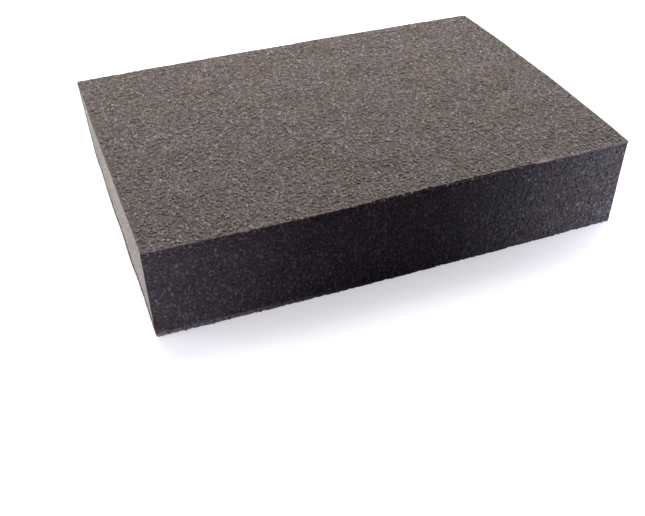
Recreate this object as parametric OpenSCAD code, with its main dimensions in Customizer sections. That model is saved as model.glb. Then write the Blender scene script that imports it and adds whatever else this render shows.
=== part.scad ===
// Sanding sponge: a rectangular block of fine-celled foam with abrasive coats on
// four faces. The two end faces are bare foam, as the knife left them.
// The block lies flat on its bottom coat: length along X, width along Y, up is +Z.
// The origin is the centre of the footprint, on the resting face. Millimetres.

/* [Block] */
// Overall length, over the bowed ends
block_l = 100; // [60:1:160]
// Overall width, over the bowed long sides
block_w = 70; // [40:1:120]
// Overall thickness, over both face coats
block_h = 19.5; // [10:0.5:40]

/* [Cut faces] */
// How far the right end stands out at its middle, beyond its corners
right_end_bow = 1.0; // [0.1:0.1:2]
// How far the left end stands out at its middle, beyond its corners
left_end_bow = 0.1; // [0.1:0.1:2]
// How far each long side stands out at its middle, beyond its corners
side_bow = 0.6; // [0.1:0.1:2]

/* [Abrasive coats] */
// Thickness of the grit and resin on the top and on the bottom
face_coat_t = 0.4; // [0.2:0.1:1.5]
// Thickness of the grit and resin on the two long sides
side_coat_t = 0.4; // [0.2:0.1:1.5]
// How far the cut edge of a face coat stands out past the side coat
lip = 0.25; // [0.05:0.05:1]

/* [Hidden] */
// The cuts are arcs of very large circles, so they take many segments
$fn = 2880;

// The four corners, inside the bows
corner_half_l = (block_l - left_end_bow - right_end_bow) / 2;
corner_half_w = block_w / 2 - side_bow;
// The right end stands out further than the left, so the corners shift to keep
// the overall length centred
corner_shift = (left_end_bow - right_end_bow) / 2;
// What the side coats and the core fill between the face coats
core_h = block_h - 2 * face_coat_t;
// How far the foam's long sides lie inside the block's outline
core_inset = lip + side_coat_t;

FOAM_COLOUR = [0.72, 0.70, 0.66];
GRIT_COLOUR = [0.36, 0.33, 0.32];

// Radius of the arc that rises by bow over a chord twice half_chord long
function bow_radius(half_chord, bow) = (half_chord * half_chord + bow * bow) / (2 * bow);

// A disc whose rim bows out by `bow` beyond two corners that stand `reach` to the
// right of the centre and half_chord apart from it, drawn in by `inset`
module bowed_edge(half_chord, reach, bow, inset = 0) {
    radius = bow_radius(half_chord, bow);
    translate([reach + bow - radius, 0])
        circle(r = radius - inset);
}

// Everything between the two end cuts
module between_ends() {
    intersection() {
        bowed_edge(corner_half_w, corner_half_l, right_end_bow);
        mirror([1, 0])
            bowed_edge(corner_half_w, corner_half_l, left_end_bow);
    }
}

// Everything inside one long side's cut: side is -1 for the front, 1 for the back
module inside_side(side, inset = 0) {
    rotate(side * 90)
        bowed_edge(corner_half_l, corner_half_w, side_bow, inset);
}

// The block seen from above, with its long sides drawn in by `inset`
module plan(inset = 0) {
    intersection() {
        between_ends();
        inside_side(-1, inset);
        inside_side(1, inset);
    }
}

// The strip that one side coat covers, seen from above
module side_strip(side) {
    difference() {
        intersection() {
            between_ends();
            inside_side(side, lip);
            translate([-block_l, side > 0 ? 0 : -block_w])
                square([2 * block_l, block_w]);
        }
        inside_side(side, core_inset);
    }
}

module foam_core() {
    color(FOAM_COLOUR)
        translate([corner_shift, 0, face_coat_t])
            linear_extrude(core_h)
                plan(core_inset);
}

module face_coat() {
    color(GRIT_COLOUR)
        translate([corner_shift, 0, 0])
            linear_extrude(face_coat_t)
                plan();
}

module bottom_coat() {
    face_coat();
}

module top_coat() {
    translate([0, 0, block_h - face_coat_t])
        face_coat();
}

module side_coat(side) {
    color(GRIT_COLOUR)
        translate([corner_shift, 0, face_coat_t])
            linear_extrude(core_h)
                side_strip(side);
}

module front_coat() {
    side_coat(-1);
}

module back_coat() {
    side_coat(1);
}

foam_core();
top_coat();
bottom_coat();
front_coat();
back_coat();
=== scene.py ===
"""Looks of a hand sanding sponge: a block of fine-celled foam with a coat of grit and
resin on its top, bottom and two long sides, and two bare ends where it was cut."""

import math

import bpy
import numpy as np
from mathutils import Matrix, Vector


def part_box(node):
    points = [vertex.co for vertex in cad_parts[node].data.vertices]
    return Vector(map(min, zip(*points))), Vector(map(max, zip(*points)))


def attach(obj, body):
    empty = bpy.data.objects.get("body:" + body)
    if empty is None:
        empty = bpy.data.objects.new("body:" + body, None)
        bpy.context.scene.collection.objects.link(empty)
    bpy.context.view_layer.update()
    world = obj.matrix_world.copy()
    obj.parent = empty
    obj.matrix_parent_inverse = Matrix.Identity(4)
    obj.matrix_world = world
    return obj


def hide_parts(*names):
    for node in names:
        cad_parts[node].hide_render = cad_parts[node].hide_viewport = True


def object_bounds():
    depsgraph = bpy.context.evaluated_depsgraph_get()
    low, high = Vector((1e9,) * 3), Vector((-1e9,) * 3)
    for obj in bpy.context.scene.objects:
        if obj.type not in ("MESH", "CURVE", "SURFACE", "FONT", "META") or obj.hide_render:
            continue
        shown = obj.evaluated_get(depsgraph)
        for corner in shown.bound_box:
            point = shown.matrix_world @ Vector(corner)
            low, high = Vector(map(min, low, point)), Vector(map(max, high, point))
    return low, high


MM = 0.001

# How the block was cut, as in the solids
RIGHT_END_BOW = 1.0 * MM
LEFT_END_BOW = 0.1 * MM
SIDE_BOW = 0.6 * MM

# How far each end's foot lies in from its top, as the knife leant: the left end's at
# its front and back corners, and the right end's
LEFT_LEAN_FRONT = 0.4 * MM
LEFT_LEAN_BACK = 1.0 * MM
RIGHT_LEAN = 0.4 * MM
# How far the foam springs back behind the coats at a cut end, at its top and its foot
SPRUNG_TOP, SPRUNG_FOOT = 0.06 * MM, 0.15 * MM
# How far a cut wanders in from its line, and the length of its waves
CUT_WANDER = 0.15 * MM
CUT_WAVE = 14 * MM
# How far single grains make a coat's cut edge ragged: few stand far out
RAGGED, RAGGED_POWER = 0.24 * MM, 2.5

# The stretch of the top coat's rim over the front side that work has worn back, and
# the burr that stands where it ends
WORN_FROM, WORN_TO = -13 * MM, 27.5 * MM
WORN_BACK = 0.5 * MM
WORN_EASE = 9 * MM
WORN_REACH = 3 * MM
BURR_L, BURR_OUT = 4 * MM, 0.17 * MM
# The foot of the front side has a painted highlight along its left end, a pale line standing for
# light on the bottom coat's lip
FOOT_HIGHLIGHT_H, FOOT_HIGHLIGHT_W = 0.6 * MM, 1.3 * MM
FOOT_HIGHLIGHT_TO, FOOT_HIGHLIGHT_EASE = -10 * MM, 16 * MM

# The bed of a coat, between its single grains: the step of its mesh and how unevenly
# its points lie, how deep and how rough it is, and how the foam under it waves
BED_STEP, BED_JITTER = 0.45 * MM, 0.36
BED_DEPTH, BED_RELIEF = 0.2 * MM, 0.1 * MM
COAT_WAVE_H, COAT_WAVE_L = 0.03 * MM, 9 * MM
# A coat's cut edge lies at this share of its bed's depth, and bulges at this share of
# its thickness
EDGE_DEPTH, EDGE_BULGE = 0.45, 0.55
# How far from a long rim its wear and painted highlight, or its painted lip shade, reaches
RIM_REACH = 0.6 * MM

# Single grains on the bed: how many, how large the largest and the smallest are, and how
# far their tips may lie under the coat's outer face
GRAINS_PER_M2 = 2.5e6
GRAIN_RADIUS, SMALLEST_GRAIN = 0.39 * MM, 0.6
GRAIN_SUNK = 0.09 * MM
# From a grain's middle to its tip, and how far its corners are chipped, as shares of
# the radius
GRAIN_TIP, GRAIN_CHIP = 0.6, 0.25
# How much longer the grains lie along x, y and z, on the faces and on the sides
FACE_LAY = (0.95, 1.4, 1.0)
SIDE_LAY = (1.0, 1.0, 1.1)
# How near the ends and the long rims the grains reach, as shares of the coat
GRAINS_FROM_END, GRAINS_FROM_RIM = 0.003, 0.001
# The cells along the sheet that carries the grains, and bed rows to each of its rows
CARRIER_COLUMNS, CARRIER_ROW = 60, 5

# Foam: the mesh step on the bare ends and how unevenly its points lie
FOAM_STEP, FOAM_JITTER = 0.2 * MM, 0.3
# Its open cells: their spacing, how deep they go, and how wide the narrowest is and how
# much wider the widest, as shares of the spacing
CELL_SIZE, CELL_DEPTH = 0.55 * MM, 0.2 * MM
CELL_NARROW, CELL_SPREAD = 0.35, 0.35
# How rough the foam is between its cells, and how shallow all of it is at its edges
FOAM_ROUGH, FOAM_EDGE = 0.4, 0.3

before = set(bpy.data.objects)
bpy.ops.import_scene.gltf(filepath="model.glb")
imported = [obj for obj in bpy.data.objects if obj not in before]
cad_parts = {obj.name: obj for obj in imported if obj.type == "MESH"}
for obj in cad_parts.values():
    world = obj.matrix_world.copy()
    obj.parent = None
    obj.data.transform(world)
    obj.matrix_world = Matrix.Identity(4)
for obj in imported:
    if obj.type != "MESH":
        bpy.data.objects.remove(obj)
cad_low, cad_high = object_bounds()
CORE_LOW, CORE_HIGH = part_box("foam_core")
TOP_LOW, TOP_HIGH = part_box("top_coat")
BOTTOM_LOW, BOTTOM_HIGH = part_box("bottom_coat")
FRONT_LOW, FRONT_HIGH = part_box("front_coat")

# The plan's corners, inside the bows
CORNER_LEFT = TOP_LOW.x + LEFT_END_BOW
CORNER_RIGHT = TOP_HIGH.x - RIGHT_END_BOW
CORNER_Y = TOP_HIGH.y - SIDE_BOW
LENGTH = CORNER_RIGHT - CORNER_LEFT
WIDTH = 2 * CORNER_Y
HEIGHT = TOP_HIGH.z
# How far a side coat's outer face and its foam lie inside the face coats' rims
LIP = TOP_HIGH.y + FRONT_LOW.y
CORE_INSET = TOP_HIGH.y - CORE_HIGH.y


# ---------------------------------------------------------------- shapes in numbers

def bow(share):
    """1 at the middle of a bowed edge and 0 at its two corners."""
    return 1 - (2 * share - 1) ** 2


def slow_waves(rng, a, b, wave, count=7):
    """Smooth random waves over two coordinates, mostly between -1 and 1."""
    total = np.zeros(np.broadcast(a, b).shape)
    for _ in range(count):
        turn, phase = rng.uniform(0, 2 * math.pi, 2)
        rate = 2 * math.pi / (wave * rng.uniform(0.6, 1.8))
        total += np.sin(rate * (a * math.cos(turn) + b * math.sin(turn)) + phase)
    return total / math.sqrt(count)


def wander(seed, along, height, share):
    """How far a knife's cut lies inside its line: nothing at its two corners."""
    waves = slow_waves(np.random.default_rng(seed), along, height, CUT_WAVE)
    return CUT_WANDER * np.sqrt(np.clip(bow(share), 0, 1)) * (0.5 + 0.5 * np.clip(waves, -1, 1))


def left_cut(y, z):
    """X of the left end's cut."""
    share = (y + CORNER_Y) / WIDTH
    lean = LEFT_LEAN_FRONT + share * (LEFT_LEAN_BACK - LEFT_LEAN_FRONT)
    line = CORNER_LEFT - LEFT_END_BOW * bow(share)
    return line + lean * (1 - z / HEIGHT) + wander(11, y, z, share)


def right_cut(y, z):
    """X of the right end's cut."""
    share = (y + CORNER_Y) / WIDTH
    line = CORNER_RIGHT + RIGHT_END_BOW * bow(share)
    return line - RIGHT_LEAN * (1 - z / HEIGHT) - wander(12, y, z, share)


def side_line(x, inset):
    """How far a long side stands from the middle plane, at a given inset."""
    return CORNER_Y + SIDE_BOW * bow((x - CORNER_LEFT) / LENGTH) - inset


def ends_at(u, y, z):
    """X at the share u of the way from the left cut to the right one."""
    left = left_cut(y, z)
    return left + u * (right_cut(y, z) - left)


def grid_shares(rng, columns, rows, jitter):
    """Shares along and across a sheet, with every inner point moved at random."""
    u, v = np.meshgrid(np.linspace(0, 1, columns + 1), np.linspace(0, 1, rows + 1))
    du = rng.uniform(-jitter, jitter, u.shape) / columns
    dv = rng.uniform(-jitter, jitter, v.shape) / rows
    du[:, [0, -1]] = 0
    dv[[0, -1], :] = 0
    return u + du, v + dv


def sheet_triangles(columns, rows, rng):
    """Two triangles for each cell of a grid, cut along a diagonal at random."""
    number = np.arange((columns + 1) * (rows + 1)).reshape(rows + 1, columns + 1)
    a, b = number[:-1, :-1].ravel(), number[:-1, 1:].ravel()
    c, d = number[1:, 1:].ravel(), number[1:, :-1].ravel()
    rising = rng.random(a.size) < 0.5
    first = np.where(rising[:, None], np.stack([a, b, c], 1), np.stack([a, b, d], 1))
    second = np.where(rising[:, None], np.stack([a, c, d], 1), np.stack([b, c, d], 1))
    return np.concatenate([first, second])


def rim_loop(columns, rows):
    """The grid's border points in order, going round the way the faces do."""
    number = np.arange((columns + 1) * (rows + 1)).reshape(rows + 1, columns + 1)
    return np.concatenate([number[0, :-1], number[:-1, -1], number[-1, :0:-1], number[:0:-1, 0]])


def ring_quads(upper, lower):
    """Quads that join two rings of points, each given in order."""
    return np.stack([upper, lower, np.roll(lower, -1), np.roll(upper, -1)], 1)


def make_piece(name, points, faces, material):
    """A mesh object from points and arrays of faces, which are rows of point numbers."""
    mesh = bpy.data.meshes.new(name)
    rows = [row for array in faces for row in array.tolist()]
    mesh.from_pydata(points.tolist(), [], rows)
    mesh.materials.append(material)
    mesh.update()
    piece = bpy.data.objects.new(name, mesh)
    bpy.context.scene.collection.objects.link(piece)
    return piece


def add_float(piece, name, values):
    """Stores one number for each point of a piece, for its material."""
    layer = piece.data.attributes.new(name, "FLOAT", "POINT")
    layer.data.foreach_set("value", values.astype(np.float32))


# ---------------------------------------------------------------- coats of grit

def gritty_slab(name, seed, columns, rows, thickness, place, flip, rim_mark, material):
    """One coat: a sheet of fine grit over a flat back, closed by a ragged rim.

    place(u, v, depth) gives the points of the slab at a depth under its outer face, and
    the rim mark names what its long rims show: grit worn pale with a painted highlight, or
    painted shade under the face coat's lip.
    """
    rng = np.random.default_rng(seed)
    u, v = grid_shares(rng, columns, rows, BED_JITTER)
    depth = BED_DEPTH + BED_RELIEF * rng.random(u.shape) ** 1.3
    waves = slow_waves(rng, u * LENGTH, v * WIDTH, COAT_WAVE_L)
    depth += COAT_WAVE_H * (0.5 + 0.5 * np.clip(waves, -1, 1))
    # A cut edge stands a little higher than the bed between the grains
    border = np.zeros(u.shape, bool)
    border[[0, -1], :] = border[:, [0, -1]] = True
    depth[border] *= EDGE_DEPTH
    x, y, z = place(u, v, depth)
    outer = np.stack([x.ravel(), y.ravel(), z.ravel()], 1)

    loop = rim_loop(columns, rows)
    rings = []
    for share in (EDGE_BULGE, 1.0):
        down = depth.ravel()[loop] * (1 - share) + thickness * share
        rings.append(np.stack(place(u.ravel()[loop], v.ravel()[loop], down), 1))
    points = np.concatenate([outer] + rings)
    middle = outer.shape[0] + np.arange(loop.size)
    lower = middle + loop.size

    faces = [sheet_triangles(columns, rows, rng), ring_quads(loop, middle),
             ring_quads(middle, lower), lower[None, ::-1]]
    if flip:
        faces = [array[:, ::-1] for array in faces]
    piece = make_piece(name, points, faces, material)

    # Painted shade darkens a side coat beside its top rim, under the face coat's lip, and a
    # face coat's two long rims and its burr are worn pale and given a painted highlight; every cut
    # edge takes the mark in full
    off_rim = 1 - v if rim_mark == "soak_and_seam_shade" else np.minimum(v, 1 - v)
    shown = np.exp(-off_rim * rows * BED_STEP / RIM_REACH)
    if rim_mark == "worn_and_highlit":
        shown += 1.5 * burr(x) * (v < 2.5 / rows)
    edge = np.ones(2 * loop.size)
    add_float(piece, rim_mark, np.concatenate([shown.ravel(), edge]))
    add_float(piece, "painted_foot_highlight", foot_highlight(points))
    # How deep a point lies in the bed, which the bed's material paints as shade in its pits
    pit_shade = (depth.ravel() - BED_DEPTH) / BED_RELIEF
    add_float(piece, "pit_shade", np.concatenate([pit_shade, 0.5 * edge]))
    return piece


def foot_highlight(points):
    """1 where the foot of the front side gets a painted highlight, along its left end."""
    at_foot = (points[:, 1] < TOP_LOW.y + FOOT_HIGHLIGHT_W) & (points[:, 2] < FOOT_HIGHLIGHT_H)
    return at_foot * np.clip((FOOT_HIGHLIGHT_TO - points[:, 0]) / FOOT_HIGHLIGHT_EASE, 0, 1)


def worn_stretch(x):
    """1 along the stretch of rim that is worn back: it fades in and ends at a step."""
    fade_in = np.clip((x - WORN_FROM) / WORN_EASE, 0, 1)
    return fade_in * fade_in * (3 - 2 * fade_in) * (x < WORN_TO)


def burr(x):
    """1 along the burr beside the step, falling to 0 at its two ends."""
    return np.clip(1.6 - 3.2 * np.abs((x - WORN_TO) / BURR_L - 0.5), 0, 1)


def face_place(low, high, up, seed):
    """Where the points of the top coat (up = 1) or the bottom coat (up = -1) go."""
    outer_z = high.z if up > 0 else low.z

    def place(u, v, depth):
        rng = np.random.default_rng(seed)
        x_line = CORNER_LEFT + u * LENGTH
        z = outer_z - up * depth
        edge_z = np.full_like(z, outer_z)
        ragged = RAGGED * rng.random(u.shape) ** RAGGED_POWER
        front = -side_line(x_line, wander(seed + 1, x_line, edge_z, u) + ragged)
        back = side_line(x_line, wander(seed + 2, x_line, edge_z, u) + ragged)
        y = front + v * (back - front)
        if up > 0:
            near = np.clip(1 - v * WIDTH / WORN_REACH, 0, 1) ** 2
            y = y + near * (WORN_BACK * worn_stretch(x_line) - BURR_OUT * burr(x_line))
            lift = depth * np.clip(1 - depth / (high.z - low.z), 0, 1)
            z = z + lift * burr(x_line) * near
        cut = np.where(u < 0.5, ragged, -ragged) * ((u == 0) | (u == 1))
        return ends_at(u, y, z) + 0.6 * cut, y, z

    return place


def side_place(side):
    """Where the points of a side coat go: side is -1 for the front, 1 for the back."""
    def place(u, v, depth):
        z = FRONT_LOW.z + v * (FRONT_HIGH.z - FRONT_LOW.z)
        x_line = CORNER_LEFT + u * LENGTH
        y = side * side_line(x_line, LIP + depth)
        return ends_at(u, y, z), y, z

    return place


# ---------------------------------------------------------------- foam

def open_cells(rng, a, b, size):
    """Depths from 0 to 1 of round cells that a cut has opened, at random places."""
    column, row = np.floor(a / size).astype(int), np.floor(b / size).astype(int)
    span = (column.max() - column.min() + 5, row.max() - row.min() + 5)
    centre_a, centre_b, reach = rng.random(span), rng.random(span), rng.random(span)
    depth = np.zeros(a.shape)
    for step_a in (-1, 0, 1):
        for step_b in (-1, 0, 1):
            i, j = column - column.min() + 2 + step_a, row - row.min() + 2 + step_b
            away_a = a / size - (column + step_a + centre_a[i, j])
            away_b = b / size - (row + step_b + centre_b[i, j])
            away = np.hypot(away_a, away_b) / (CELL_NARROW + CELL_SPREAD * reach[i, j])
            depth = np.maximum(depth, np.sqrt(np.clip(1 - away ** 2, 0, 1)) * reach[i, j])
    return depth


def foam_end(seed, across, up, side):
    """Points of one bare end: side is -1 for the left end, 1 for the right one."""
    rng = np.random.default_rng(seed)
    s, t = grid_shares(rng, across, up, FOAM_JITTER)
    z = CORE_LOW.z + t * (CORE_HIGH.z - CORE_LOW.z)
    half_w = side_line(np.float64(CORNER_LEFT), CORE_INSET)
    y = (2 * s - 1) * half_w
    pits = CELL_DEPTH * open_cells(rng, y, z, CELL_SIZE)
    pits += FOAM_ROUGH * CELL_DEPTH * rng.random(s.shape)
    pits[[0, -1], :] *= FOAM_EDGE
    pits[:, [0, -1]] *= FOAM_EDGE
    cut = right_cut(y, z) if side > 0 else left_cut(y, z)
    sprung = SPRUNG_FOOT + t * (SPRUNG_TOP - SPRUNG_FOOT)
    return np.stack([(cut - side * (pits + sprung)).ravel(), y.ravel(), z.ravel()], 1)


def foam_block(material):
    """The core: two cut ends full of open cells, joined by plain sides under the coats."""
    across = round(WIDTH / FOAM_STEP)
    up = round((CORE_HIGH.z - CORE_LOW.z) / FOAM_STEP)
    left, right = foam_end(21, across, up, -1), foam_end(22, across, up, 1)
    points = np.concatenate([left, right])
    rng = np.random.default_rng(23)
    left_faces = sheet_triangles(across, up, rng)[:, ::-1]
    right_faces = sheet_triangles(across, up, rng) + len(left)
    loop = rim_loop(across, up)
    sides = ring_quads(loop + len(left), loop)
    return make_piece("foam_block", points, [left_faces, right_faces, sides], material)


# ---------------------------------------------------------------- materials

# Patches of fine grit in the bed, and the foam's cells as its colour shows them, with painted shade
# in the open ones
GRIT_PATCH = 0.45 * MM
FOAM_PATCH, FOAM_BUMP = 0.5 * MM, 0.14 * MM
# Chips in the grit: how large they are, and how deep in the bed and in single grains
CHIP_SIZE = 0.09 * MM
BED_CHIPS, GRAIN_CHIPS = 0.04 * MM, 0.03 * MM
# Clouds, each with its offset, its size and its colour: olive and reddish resin, which
# multiply the grit's tones, and olive and brown dust, which lies over the foam's
RESIN_CLOUDS = ((0.0, 6 * MM, (0.87, 0.91, 0.79)), (0.5, 10 * MM, (1.0, 0.93, 0.89)))
DUST_CLOUDS = ((0.0, 3 * MM, (0.290, 0.292, 0.232)), (0.5, 5 * MM, (0.345, 0.312, 0.255)))
# How a coat's bed changes by wear and by painted light: the attribute that says where, how much,
# and to what colour
WEAR_AND_PAINTED_LIGHT = (
    # Rims worn pale, which also gives the coats' cut edges a painted highlight
    ("worn_and_highlit", 0.25, (0.22, 0.190, 0.150)),
    # Painted shade on a side coat beside its top rim, under the face coat's lip
    ("soak_and_seam_shade", 0.8, (0.030, 0.021, 0.018)),
    # A painted highlight along the foot of the front side
    ("painted_foot_highlight", 0.8, (0.38, 0.33, 0.26)),
)
# How far the dark line of soaked resin and painted shade reaches into the foam beside a coat, and
# the size of its spots
SOAK_AND_SHADE_REACH, SOAK_SPOT = 0.5 * MM, 0.8 * MM


def new_material(name):
    """A material with its Principled shader: returns it, its nodes and the shader."""
    material = bpy.data.materials.new(name)
    material.use_nodes = True
    tree = material.node_tree
    return material, tree, tree.nodes["Principled BSDF"]


def add_node(tree, kind, inputs=(), **settings):
    """A node with its settings, and its inputs set to values or joined to sockets."""
    made = tree.nodes.new(kind)
    for key, value in settings.items():
        setattr(made, key, value)
    for key, value in dict(inputs).items():
        if isinstance(value, bpy.types.NodeSocket):
            tree.links.new(value, made.inputs[key])
        else:
            made.inputs[key].default_value = value
    return made


def maths(tree, operation, first, second=0.0):
    """The result of a maths node on one or two numbers or sockets."""
    return add_node(tree, "ShaderNodeMath", {0: first, 1: second}, operation=operation).outputs[0]


def ramp(tree, factor, stops):
    """A colour ramp through the given (place, colour) stops."""
    made = add_node(tree, "ShaderNodeValToRGB", {"Fac": factor})
    elements = made.color_ramp.elements
    while len(elements) < len(stops):
        elements.new(0.5)
    for element, (place, colour) in zip(elements, stops):
        element.position = place
        element.color = (*colour, 1) if len(colour) == 3 else (*colour * 3, 1)
    return made.outputs["Color"]


def tinted(tree, base, over, factor, blend="MIX"):
    """base mixed towards over, or multiplied by it, by a factor socket."""
    mix = add_node(tree, "ShaderNodeMix", data_type="RGBA", blend_type=blend)
    tree.links.new(factor, mix.inputs[0])
    for socket, value in ((mix.inputs[6], base), (mix.inputs[7], over)):
        if isinstance(value, bpy.types.NodeSocket):
            tree.links.new(value, socket)
        else:
            socket.default_value = (*value, 1)
    return mix.outputs[2]


def clouded(tree, place, tone, clouds, detail, edges, blend="MIX"):
    """A tone under soft clouds, whose edges are two stops of a ramp."""
    for offset, size, colour in clouds:
        shifted = add_node(tree, "ShaderNodeMapping",
                           {"Vector": place, "Location": (offset,) * 3})
        noise = add_node(tree, "ShaderNodeTexNoise", {
            "Vector": shifted.outputs["Vector"], "Scale": 1 / size, "Detail": detail})
        tone = tinted(tree, tone, colour, ramp(tree, noise.outputs["Fac"], edges), blend)
    return tone


def resin_clouded(tree, place, tone):
    """A tone of grit under uneven resin."""
    edges = (0.44, (0.0,)), (0.68, (1.0,))
    return clouded(tree, place, tone, RESIN_CLOUDS, 3.0, edges, "MULTIPLY")


def with_wear_and_painted_light(tree, tone):
    """A tone rubbed pale where it is worn, with painted highlights on the worn rims and at the
    front side's foot, and painted shade under the top coat's lip.
    """
    for name, amount, colour in WEAR_AND_PAINTED_LIGHT:
        level = add_node(tree, "ShaderNodeAttribute", attribute_name=name).outputs["Fac"]
        tone = tinted(tree, tone, colour, maths(tree, "MULTIPLY", level, amount))
    return tone


def chipped(tree, place, shader, depth):
    """Gives a shader small chips of the given depth."""
    fine = add_node(tree, "ShaderNodeTexNoise",
                    {"Vector": place, "Scale": 1 / CHIP_SIZE, "Detail": 2.0})
    bump = add_node(tree, "ShaderNodeBump", {"Height": fine.outputs["Fac"],
                                             "Strength": 0.5, "Distance": depth})
    tree.links.new(bump.outputs["Normal"], shader.inputs["Normal"])


def grit_material():
    """The bed: fine brown grit in a dark resin, with painted shade in its pits."""
    material, tree, shader = new_material("grit_in_resin")
    place = add_node(tree, "ShaderNodeTexCoord").outputs["Object"]
    patches = add_node(tree, "ShaderNodeTexVoronoi", {"Vector": place, "Scale": 1 / GRIT_PATCH})
    shade = add_node(tree, "ShaderNodeSeparateColor", {"Color": patches.outputs["Color"]})
    tone = ramp(tree, shade.outputs["Red"], (
        (0.0, (0.054, 0.047, 0.039)),
        (0.5, (0.073, 0.063, 0.053)),
        (1.0, (0.098, 0.085, 0.072)),
    ))
    pit_shade = add_node(tree, "ShaderNodeAttribute", attribute_name="pit_shade").outputs["Fac"]
    # Painted shade: the deeper a point lies in the bed, the darker it is
    depth = ramp(tree, pit_shade, ((0.2, (0.0,)), (0.9, (0.3,))))
    tone = resin_clouded(tree, place, tinted(tree, tone, (0.032, 0.026, 0.020), depth))
    tree.links.new(with_wear_and_painted_light(tree, tone), shader.inputs["Base Color"])
    rough = add_node(tree, "ShaderNodeMapRange", {"Value": shade.outputs["Green"],
                                                  "To Min": 0.55, "To Max": 0.85})
    tree.links.new(rough.outputs["Result"], shader.inputs["Roughness"])
    shader.inputs["Specular IOR Level"].default_value = 0.2
    chipped(tree, place, shader, BED_CHIPS)
    return material


def grain_material():
    """Single grains: each has its own tone, from dark to pale grey brown."""
    material, tree, shader = new_material("single_grain")
    place = add_node(tree, "ShaderNodeTexCoord").outputs["Object"]
    own = add_node(tree, "ShaderNodeAttribute", attribute_name="tone").outputs["Fac"]
    tone = ramp(tree, own, (
        (0.0, (0.085, 0.074, 0.065)),
        (0.6, (0.128, 0.112, 0.099)),
        (0.9, (0.162, 0.143, 0.127)),
        (1.0, (0.215, 0.194, 0.175)),
    ))
    tree.links.new(resin_clouded(tree, place, tone), shader.inputs["Base Color"])
    shader.inputs["Roughness"].default_value = 0.65
    shader.inputs["Specular IOR Level"].default_value = 0.35
    chipped(tree, place, shader, GRAIN_CHIPS)
    return material


def foam_material():
    """Light grey foam with painted shade in its open cells, and a dark line beside the coats that
    is grit stain and painted shade under their edges.
    """
    material, tree, shader = new_material("bare_foam")
    place = add_node(tree, "ShaderNodeTexCoord").outputs["Object"]
    cells = add_node(tree, "ShaderNodeTexVoronoi", {"Vector": place, "Scale": 1 / FOAM_PATCH})
    # Each cell has its own tone, and the open ones get painted shade in their middles
    own = add_node(tree, "ShaderNodeSeparateColor", {"Color": cells.outputs["Color"]})
    skin = ramp(tree, own.outputs["Green"], (
        (0.0, (0.330, 0.318, 0.275)),
        (0.8, (0.445, 0.430, 0.375)),
        (1.0, (0.620, 0.603, 0.540)),
    ))
    middle_of_cell = ramp(tree, cells.outputs["Distance"], ((0.15, (1.0,)), (0.5, (0.0,))))
    openness = ramp(tree, own.outputs["Red"], ((0.3, (0.1,)), (0.85, (0.9,))))
    painted_cell_shade = maths(tree, "MULTIPLY", middle_of_cell, openness)
    # Painted shade in the middles of the open cells
    cut = tinted(tree, skin, (0.11, 0.097, 0.082), painted_cell_shade)
    dusty = clouded(tree, place, cut, DUST_CLOUDS, 4.0, ((0.45, (0.0,)), (0.7, (0.5,))))
    # Resin and grit soak a ragged dark line into the foam beside each coat, which is also painted
    # shade under the coats' edges
    spot = add_node(tree, "ShaderNodeSeparateXYZ", {"Vector": place})
    middle = (CORE_LOW.z + CORE_HIGH.z) / 2
    half = (CORE_HIGH.z - CORE_LOW.z) / 2
    off = maths(tree, "ABSOLUTE", maths(tree, "SUBTRACT", spot.outputs["Z"], middle))
    soak = add_node(tree, "ShaderNodeTexNoise",
                    {"Vector": place, "Scale": 1 / SOAK_SPOT, "Detail": 3.0})
    reach = add_node(tree, "ShaderNodeMapRange", {
        "Value": soak.outputs["Fac"], "From Min": 0.35, "From Max": 0.7,
        "To Min": half, "To Max": half - SOAK_AND_SHADE_REACH})
    soak_and_seam_shade = maths(tree, "GREATER_THAN", off, reach.outputs["Result"])
    # Soaked resin and painted shade under the coats' edges
    colour = tinted(tree, dusty, (0.10, 0.085, 0.078), soak_and_seam_shade)
    tree.links.new(colour, shader.inputs["Base Color"])
    shader.inputs["Roughness"].default_value = 0.85
    shader.inputs["IOR"].default_value = 1.35
    bump = add_node(tree, "ShaderNodeBump", {"Height": cells.outputs["Distance"],
                                             "Strength": 0.7, "Distance": FOAM_BUMP})
    tree.links.new(bump.outputs["Normal"], shader.inputs["Normal"])
    return material


# ---------------------------------------------------------------- single grains

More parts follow.
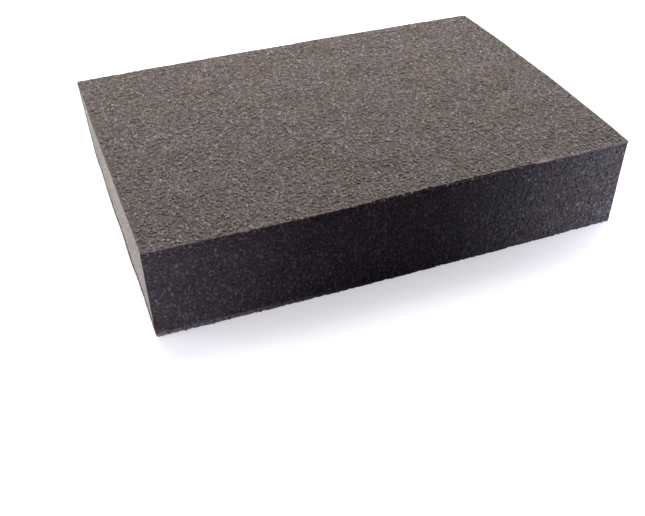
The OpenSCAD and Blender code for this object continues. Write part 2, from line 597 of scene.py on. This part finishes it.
def grain_tree(material):
    """Geometry Nodes that strew sharp grains over a sheet and keep only the grains."""
    tree = bpy.data.node_groups.new("proud_grains", "GeometryNodeTree")
    sockets = tree.interface
    sockets.new_socket("Geometry", in_out="INPUT", socket_type="NodeSocketGeometry")
    for name, kind, value in (
        ("Grains per m2", "NodeSocketFloat", GRAINS_PER_M2),
        ("Radius", "NodeSocketFloat", GRAIN_RADIUS),
        ("Sunk", "NodeSocketFloat", GRAIN_SUNK),
        ("Lay", "NodeSocketVector", FACE_LAY),
        ("Seed", "NodeSocketInt", 0),
    ):
        sockets.new_socket(name, in_out="INPUT", socket_type=kind).default_value = value
    sockets.new_socket("Geometry", in_out="OUTPUT", socket_type="NodeSocketGeometry")
    given = add_node(tree, "NodeGroupInput").outputs

    def random_number(low, high):
        made = add_node(tree, "FunctionNodeRandomValue", data_type="FLOAT")
        made.inputs[2].default_value, made.inputs[3].default_value = low, high
        return made.outputs[1]

    def scaled(vector, factor):
        made = add_node(tree, "ShaderNodeVectorMath", {0: vector}, operation="SCALE")
        tree.links.new(factor, made.inputs["Scale"])
        return made.outputs["Vector"]

    strewn = add_node(tree, "GeometryNodeDistributePointsOnFaces", {
        "Mesh": given["Geometry"], "Density": given["Grains per m2"], "Seed": given["Seed"]})
    reach = maths(tree, "MULTIPLY", given["Radius"], random_number(SMALLEST_GRAIN, 1.0))
    # Each grain hangs by its tip, a little under the coat's outer face
    hung = maths(tree, "MULTIPLY", given["Sunk"], random_number(0.0, 1.0))
    down = maths(tree, "ADD", maths(tree, "MULTIPLY", reach, GRAIN_TIP), hung)
    drop = maths(tree, "MULTIPLY", down, -1.0)
    bedded = add_node(tree, "GeometryNodeSetPosition", {
        "Geometry": strewn.outputs["Points"], "Offset": scaled(strewn.outputs["Normal"], drop)})
    shaded = add_node(tree, "GeometryNodeStoreNamedAttribute", {
        "Geometry": bedded.outputs["Geometry"], "Name": "tone"},
        data_type="FLOAT", domain="POINT")
    tree.links.new(random_number(0.0, 1.0), shaded.inputs["Value"])
    grain = add_node(tree, "GeometryNodeMeshUVSphere", {"Segments": 4, "Rings": 2, "Radius": 1.0})
    turn = add_node(tree, "FunctionNodeRandomValue", data_type="FLOAT_VECTOR")
    turn.inputs[1].default_value = (2 * math.pi,) * 3
    placed = add_node(tree, "GeometryNodeInstanceOnPoints", {
        "Points": shaded.outputs["Geometry"], "Instance": grain.outputs["Mesh"],
        "Scale": reach})
    tree.links.new(turn.outputs[0], placed.inputs["Rotation"])
    # The coat was drawn on across the block, and the grains on its faces lie that way
    laid = add_node(tree, "GeometryNodeScaleInstances", {
        "Instances": placed.outputs["Instances"], "Scale": given["Lay"],
        "Center": add_node(tree, "GeometryNodeInputPosition").outputs["Position"],
        "Local Space": False})
    real = add_node(tree, "GeometryNodeRealizeInstances",
                    {"Geometry": laid.outputs["Instances"]})
    # Every corner of every grain is chipped its own way
    chip = add_node(tree, "FunctionNodeRandomValue", data_type="FLOAT_VECTOR")
    chip.inputs[0].default_value = (-GRAIN_CHIP,) * 3
    chip.inputs[1].default_value = (GRAIN_CHIP,) * 3
    rough = add_node(tree, "GeometryNodeSetPosition", {
        "Geometry": real.outputs["Geometry"], "Offset": scaled(chip.outputs[0], given["Radius"])})
    painted = add_node(tree, "GeometryNodeSetMaterial", {"Geometry": rough.outputs["Geometry"]})
    painted.inputs["Material"].default_value = material
    add_node(tree, "NodeGroupOutput", {"Geometry": painted.outputs["Geometry"]})
    return tree


def proud_grains(name, tree, seed, lay, columns, rows, place, flip):
    """Grains strewn over a coat, as a piece of their own."""
    u, v = np.meshgrid(np.linspace(GRAINS_FROM_END, 1 - GRAINS_FROM_END, columns + 1),
                       np.linspace(GRAINS_FROM_RIM, 1 - GRAINS_FROM_RIM, rows + 1))
    x, y, z = place(u, v, np.zeros(u.shape))
    points = np.stack([x.ravel(), y.ravel(), z.ravel()], 1)
    faces = sheet_triangles(columns, rows, np.random.default_rng(seed))
    if flip:
        faces = faces[:, ::-1]
    sheet = make_piece("carrier", points, [faces], None)
    strew = sheet.modifiers.new("strew", "NODES")
    strew.node_group = tree
    own = {"Seed": seed, "Lay": lay}
    for item in tree.interface.items_tree:
        if item.in_out == "INPUT" and item.name in own:
            strew[item.identifier] = own[item.name]
    evaluated = sheet.evaluated_get(bpy.context.evaluated_depsgraph_get())
    mesh = bpy.data.meshes.new_from_object(evaluated)
    bpy.data.objects.remove(sheet)
    # Tips that would stand out of the block are worn flat
    tips = np.empty(3 * len(mesh.vertices))
    mesh.vertices.foreach_get("co", tips)
    tips = np.clip(tips.reshape(-1, 3), cad_low, cad_high)
    mesh.vertices.foreach_set("co", tips.ravel())
    mesh.update()
    mesh.name = name
    piece = bpy.data.objects.new(name, mesh)
    bpy.context.scene.collection.objects.link(piece)
    return piece


# ---------------------------------------------------------------- the sponge

def build_sponge():
    """Makes every piece, gives each its body, and hides the solids that the coats and the core
    stand in for.
    """
    grit, foam = grit_material(), foam_material()
    columns = round(LENGTH / BED_STEP)
    on_face = (round(WIDTH / BED_STEP), TOP_HIGH.z - TOP_LOW.z, "worn_and_highlit", FACE_LAY)
    on_side = (round((FRONT_HIGH.z - FRONT_LOW.z) / BED_STEP), CORE_INSET - LIP, "soak_and_seam_shade",
               SIDE_LAY)
    tree = grain_tree(grain_material())
    for name, seed, place, flip, (rows, thickness, rim_mark, lay) in (
        ("top", 31, face_place(TOP_LOW, TOP_HIGH, 1, 41), False, on_face),
        ("bottom", 32, face_place(BOTTOM_LOW, BOTTOM_HIGH, -1, 51), True, on_face),
        ("front", 33, side_place(-1), False, on_side),
        ("back", 34, side_place(1), True, on_side),
    ):
        coat = gritty_slab(name + "_grit", seed, columns, rows, thickness, place, flip,
                           rim_mark, grit)
        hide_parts(name + "_coat")
        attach(coat, "root")
        grains = proud_grains(name + "_proud_grains", tree, seed, lay, CARRIER_COLUMNS,
                              rows // CARRIER_ROW, place, flip)
        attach(grains, "root")
    core = foam_block(foam)
    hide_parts("foam_core")
    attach(core, "root")


# ---------------------------------------------------------------- camera, light, stage

CAMERA_PLACE = Vector((-62.77, -155.14, 109.97)) * MM
CAMERA_AIM = Vector((-17.42, -35.57, 10.0)) * MM
CAMERA_ROLL = math.radians(-0.68)
CAMERA_LENS = 49.09

# The floor: half its width, and where its own glow fades up to the white of the room
FLOOR_HALF = 1.5
GLOW_FROM, GLOW_TO = 0.12, 0.32


def add_camera():
    """The camera: over the sponge's front left corner, looking down on it."""
    data = bpy.data.cameras.new("camera")
    data.lens = CAMERA_LENS
    data.sensor_width = 36
    data.clip_start, data.clip_end = 0.005, 50
    camera = bpy.data.objects.new("camera", data)
    bpy.context.scene.collection.objects.link(camera)
    turn = (CAMERA_AIM - CAMERA_PLACE).to_track_quat("-Z", "Y").to_matrix().to_4x4()
    camera.matrix_world = (Matrix.Translation(CAMERA_PLACE) @ turn
                           @ Matrix.Rotation(CAMERA_ROLL, 4, "Z"))
    bpy.context.scene.camera = camera


def add_lamp(name, place, aim, size, power, colour, spread=180):
    """A square soft lamp that looks from one point to another, in millimetres."""
    data = bpy.data.lights.new(name, "AREA")
    data.shape = "SQUARE"
    data.size = size * MM
    data.spread = math.radians(spread)
    data.energy = power
    data.color = colour
    lamp = bpy.data.objects.new(name, data)
    bpy.context.scene.collection.objects.link(lamp)
    lamp.location = Vector(place) * MM
    lamp.rotation_mode = "QUATERNION"
    lamp.rotation_quaternion = (Vector(aim) - Vector(place)).to_track_quat("-Z", "Y")
    lamp.visible_camera = False


def light_sponge():
    """Soft light from over and behind, a side light on the left end, and two cool lights
    that reach only the ends of the front side."""
    add_lamp("overhead", (-12, 114, 160), (-10, 92, 10), 200, 0.56, (1, 0.93, 0.995))
    add_lamp("behind", (60, 420, 220), (0, 0, 20), 320, 0.365, (1, 0.955, 0.90))
    add_lamp("left", (-250, 30, 100), (0, 0, 10), 150, 0.47, (1, 0.98, 0.93))
    add_lamp("right", (180, 50, 170), (24, 0, 10), 180, 0.66, (1, 0.965, 0.96))
    add_lamp("front_right", (66, -115, 20), (62, -35, 10), 26, 0.0174, (0.67, 0.72, 1), 62)
    add_lamp("front_left", (-64, -115, 20), (-64, -35, 10), 26, 0.0068, (0.72, 0.69, 1), 60)


def add_world():
    """A dim grey room that the camera sees as white."""
    world = bpy.data.worlds.new("room")
    bpy.context.scene.world = world
    world.use_nodes = True
    tree = world.node_tree
    tree.nodes.clear()
    camera_ray = add_node(tree, "ShaderNodeLightPath").outputs["Is Camera Ray"]
    dim = add_node(tree, "ShaderNodeBackground", {"Color": (0.58, 0.54, 1, 1), "Strength": 0.188})
    white = add_node(tree, "ShaderNodeBackground", {"Color": (1, 1, 1, 1), "Strength": 1.0})
    mix = add_node(tree, "ShaderNodeMixShader", {0: camera_ray})
    tree.links.new(dim.outputs[0], mix.inputs[1])
    tree.links.new(white.outputs[0], mix.inputs[2])
    add_node(tree, "ShaderNodeOutputWorld", {"Surface": mix.outputs[0]})


def add_floor():
    """A pale floor that keeps the sponge's shadow and throws little light back."""
    corners = [(x * FLOOR_HALF, y * FLOOR_HALF, 0) for x, y in ((-1, -1), (1, -1), (1, 1), (-1, 1))]
    mesh = bpy.data.meshes.new("floor")
    mesh.from_pydata(corners, [], [(0, 1, 2, 3)])
    floor = bpy.data.objects.new("floor", mesh)
    bpy.context.scene.collection.objects.link(floor)
    material, tree, shader = new_material("pale_floor")
    camera_ray = add_node(tree, "ShaderNodeLightPath").outputs["Is Camera Ray"]
    colour = tinted(tree, (0.20, 0.19, 0.24), (0.66, 0.66, 0.66), camera_ray)
    tree.links.new(colour, shader.inputs["Base Color"])
    shader.inputs["Roughness"].default_value = 0.9
    shader.inputs["Emission Color"].default_value = (1, 1, 1, 1)
    # Away from the sponge the floor fades into the white room
    place = add_node(tree, "ShaderNodeTexCoord").outputs["Object"]
    away = add_node(tree, "ShaderNodeVectorMath", {0: place}, operation="LENGTH")
    level = add_node(tree, "ShaderNodeMapRange", {
        "Value": away.outputs["Value"], "From Min": GLOW_FROM, "From Max": GLOW_TO,
        "To Min": 0.5, "To Max": 1.0})
    glow = maths(tree, "MULTIPLY", camera_ray, level.outputs["Result"])
    tree.links.new(glow, shader.inputs["Emission Strength"])
    mesh.materials.append(material)


build_sponge()
add_camera()
light_sponge()
add_world()
add_floor()
bpy.context.scene.view_settings.view_transform = "Standard"
